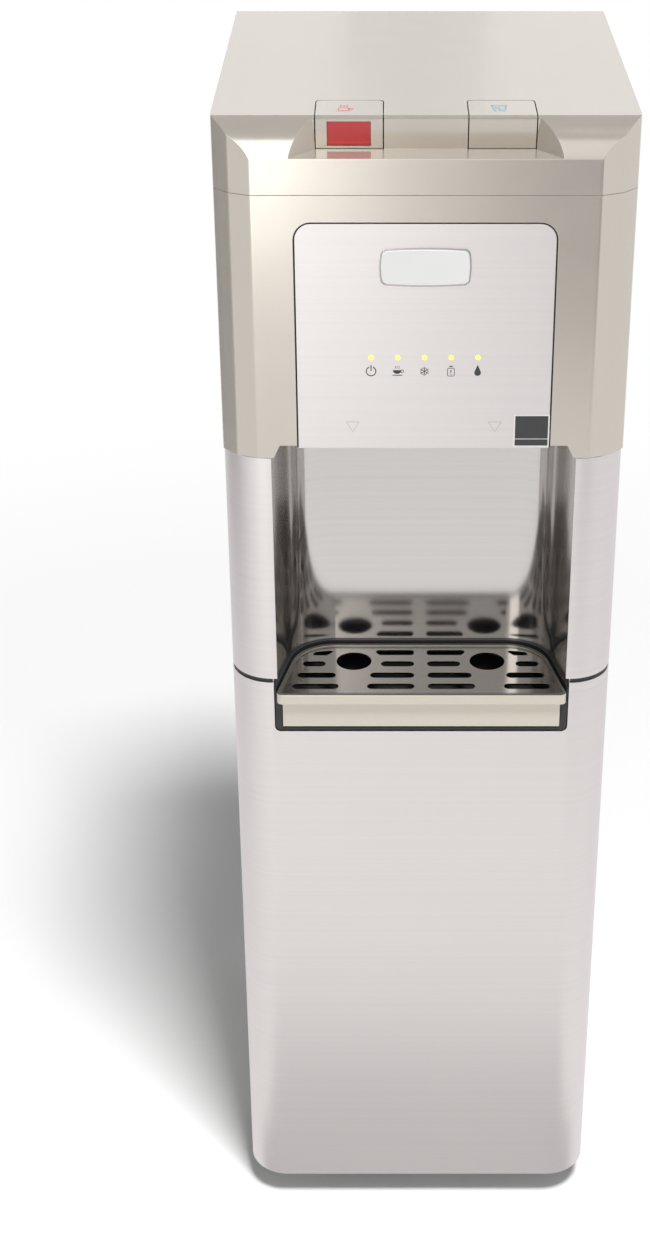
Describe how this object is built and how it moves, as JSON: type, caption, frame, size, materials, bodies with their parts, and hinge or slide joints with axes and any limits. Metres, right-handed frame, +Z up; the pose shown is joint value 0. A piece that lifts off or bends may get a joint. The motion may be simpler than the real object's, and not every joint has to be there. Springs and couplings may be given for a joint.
{
  "type": "bottom load water cooler",
  "caption": "Slim floor-standing bottom load water cooler: two top push buttons, lit control panel, dispensing alcove with drip tray, hinged bottle door, rear condenser.",
  "frame": {"origin": "centre of the bounding box at floor level", "axes": "+X to the viewer's right, -Y out of the front, +Z up"},
  "size_m": [0.31, 0.36, 1.02],
  "materials": {
    "champagne_gloss": "glossy metallic",
    "brushed_stainless": "horizontal brushed",
    "liner_stainless": "bright rolled",
    "polished_stainless": "polished",
    "cream_silver": "glossy",
    "black_plastic": "satin",
    "red_plastic": "glossy",
    "white_enamel": "glossy with chrome rim",
    "lamp_lens": "clear",
    "painted_side": "satin",
    "galvanised": "zinc coated",
    "grey_plastic": "satin",
    "white_plastic": "satin",
    "steel_pin": "bright",
    "spring_steel": "bright",
    "board_green": "lacquered",
    "rubber_black": "matt",
    "black_enamel": "satin",
    "copper": "drawn",
    "foam": "beaded foam",
    "felt_grey": "felt",
    "silicone": "translucent",
    "magnet_dark": "satin"
  },
  "bodies": {
    "cabinet": {"top_cover": "champagne_gloss", "button_pins": "steel_pin", "switch_carrier": "grey_plastic", "hot_return_spring": "spring_steel", "cold_return_spring": "spring_steel", "microswitches": "black_plastic", "front_housing": "champagne_gloss", "control_panel": "brushed_stainless", "badge_plate": "white_enamel", "indicator_lenses": "lamp_lens", "control_board": "board_green", "left_pillar": "brushed_stainless", "right_pillar": "brushed_stainless", "alcove_liner": "liner_stainless", "alcove_ceiling": "black_plastic", "spouts": "grey_plastic", "dispense_valves": "white_plastic", "tray_well": "black_plastic", "door_hinges": "steel_pin", "door_magnet": "magnet_dark", "left_side_panel": "painted_side", "right_side_panel": "painted_side", "back_panel": "galvanised", "base_pan": "galvanised", "feet": "rubber_black", "bottle_platform": "grey_plastic", "deck": "galvanised", "tank_shelf": "galvanised", "probe_hanger": "grey_plastic", "probe_hose": "silicone", "hose_fitting": "white_plastic", "pump": "black_plastic", "water_hoses": "silicone", "cold_tank": "polished_stainless", "cold_foam": "foam", "hot_tank": "polished_stainless", "hot_felt": "felt_grey", "compressor": "black_enamel", "compressor_mounts": "rubber_black", "relay_cover": "black_plastic", "condenser": "black_enamel", "condenser_brackets": "galvanised", "drier_and_lines": "copper", "switch_bodies": "black_plastic", "drain_spigot": "polished_stainless", "cord_gland": "black_plastic"},
    "door": {"door_skin": "brushed_stainless", "door_core": "grey_plastic", "door_ears": "grey_plastic", "door_bushes": "white_plastic", "strike_plate": "steel_pin"},
    "tray": {"drip_tray": "cream_silver"},
    "grille": {"drip_grille": "polished_stainless"},
    "hot_key": {"hot_button": "champagne_gloss"},
    "cold_key": {"cold_button": "champagne_gloss"},
    "hot_lock": {"hot_lock_slider": "red_plastic"},
    "probe": {"bottle_probe": "white_plastic"},
    "heater_switch": {"heater_rocker": "red_plastic"},
    "cooling_switch": {"cooling_rocker": "black_plastic"},
    "drain_stopper": {"drain_cap": "black_plastic"}
  },
  "joints": [
    {"name": "door_hinge", "type": "hinge", "parent": "cabinet", "child": "door", "pos_m": [0.141, -0.154, 0.3], "axis": [0, 0, 1], "range_deg": [0, 105]},
    {"name": "tray_slide", "type": "slide", "parent": "cabinet", "child": "tray", "axis": [0, -1, 0], "range_m": [0, 0.12]},
    {"name": "grille_lift", "type": "slide", "parent": "tray", "child": "grille", "axis": [0, 0, 1], "range_m": [0, 0.05]},
    {"name": "hot_press", "type": "hinge", "parent": "cabinet", "child": "hot_key", "pos_m": [0, -0.121, 1.011], "axis": [1, 0, 0], "range_deg": [0, 5], "stiffness_Nm_per_rad": 0.8, "springref_deg": -1.72, "deforming": ["hot_return_spring"]},
    {"name": "cold_press", "type": "hinge", "parent": "cabinet", "child": "cold_key", "pos_m": [0, -0.121, 1.011], "axis": [1, 0, 0], "range_deg": [0, 5], "stiffness_Nm_per_rad": 0.8, "springref_deg": -1.72, "deforming": ["cold_return_spring"]},
    {"name": "lock_push", "type": "slide", "parent": "hot_key", "child": "hot_lock", "axis": [0, 1, 0], "range_m": [0, 0.003], "stiffness_N_per_m": 150, "springref_m": -0.002},
    {"name": "probe_lift", "type": "slide", "parent": "cabinet", "child": "probe", "axis": [0, 0, 1], "range_m": [0, 0.025], "deforming": ["probe_hose"]},
    {"name": "heater_rock", "type": "hinge", "parent": "cabinet", "child": "heater_switch", "pos_m": [0.06, 0.1625, 0.885], "axis": [1, 0, 0], "range_deg": [-14, 0]},
    {"name": "cooling_rock", "type": "hinge", "parent": "cabinet", "child": "cooling_switch", "pos_m": [0.09, 0.1625, 0.885], "axis": [1, 0, 0], "range_deg": [-14, 0]},
    {"name": "drain_pull", "type": "slide", "parent": "cabinet", "child": "drain_stopper", "axis": [0, 1, 0], "range_m": [0, 0.03]}
  ]
}
